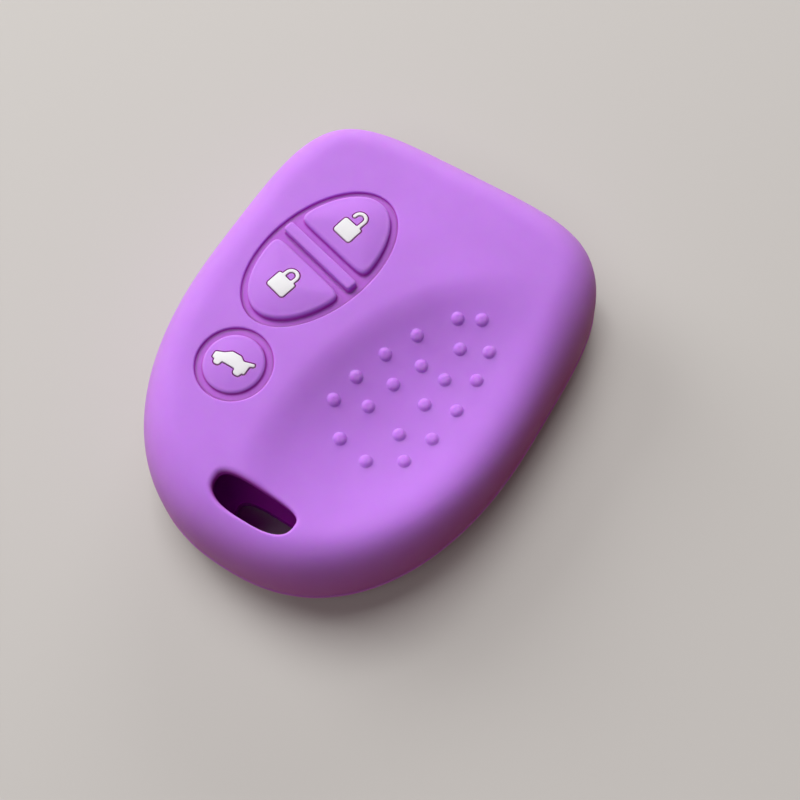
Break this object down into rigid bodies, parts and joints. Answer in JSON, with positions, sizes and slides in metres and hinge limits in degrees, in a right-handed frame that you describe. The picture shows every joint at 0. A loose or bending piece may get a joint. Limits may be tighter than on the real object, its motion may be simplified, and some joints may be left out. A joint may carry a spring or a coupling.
{
  "type": "key fob cover",
  "caption": "Soft moulded cover for a car remote, with sprung button pads over lock, unlock and boot, a dotted thumb scoop, a key-ring slot and a back window.",
  "frame": {"origin": "centre of the outline, on the plane of the back face", "axes": "+Z out of the button face, +Y towards the wide end where the blade comes out, +X towards the thumb scoop"},
  "size_m": [0.0494, 0.062, 0.0177],
  "materials": {
    "skin": "satin",
    "web": "satin",
    "pad": "satin",
    "legend": "satin"
  },
  "bodies": {
    "skin": {"front_shell": "skin", "back_shell": "skin", "grip_dots": "skin", "divider_bar": "skin", "unlock_web": "web", "lock_web": "web", "boot_web": "web"},
    "unlock_key": {"unlock_pad": "pad"},
    "lock_key": {"lock_pad": "pad"},
    "boot_key": {"boot_pad": "pad"}
  },
  "joints": [
    {"name": "unlock_press", "type": "slide", "parent": "skin", "child": "unlock_key", "axis": [0, 0, -1], "range_m": [0, 0.0008], "stiffness_N_per_m": 1500},
    {"name": "lock_press", "type": "slide", "parent": "skin", "child": "lock_key", "axis": [0, 0, -1], "range_m": [0, 0.0008], "stiffness_N_per_m": 1500},
    {"name": "boot_press", "type": "slide", "parent": "skin", "child": "boot_key", "axis": [0, 0, -1], "range_m": [0, 0.0008], "stiffness_N_per_m": 1500}
  ]
}
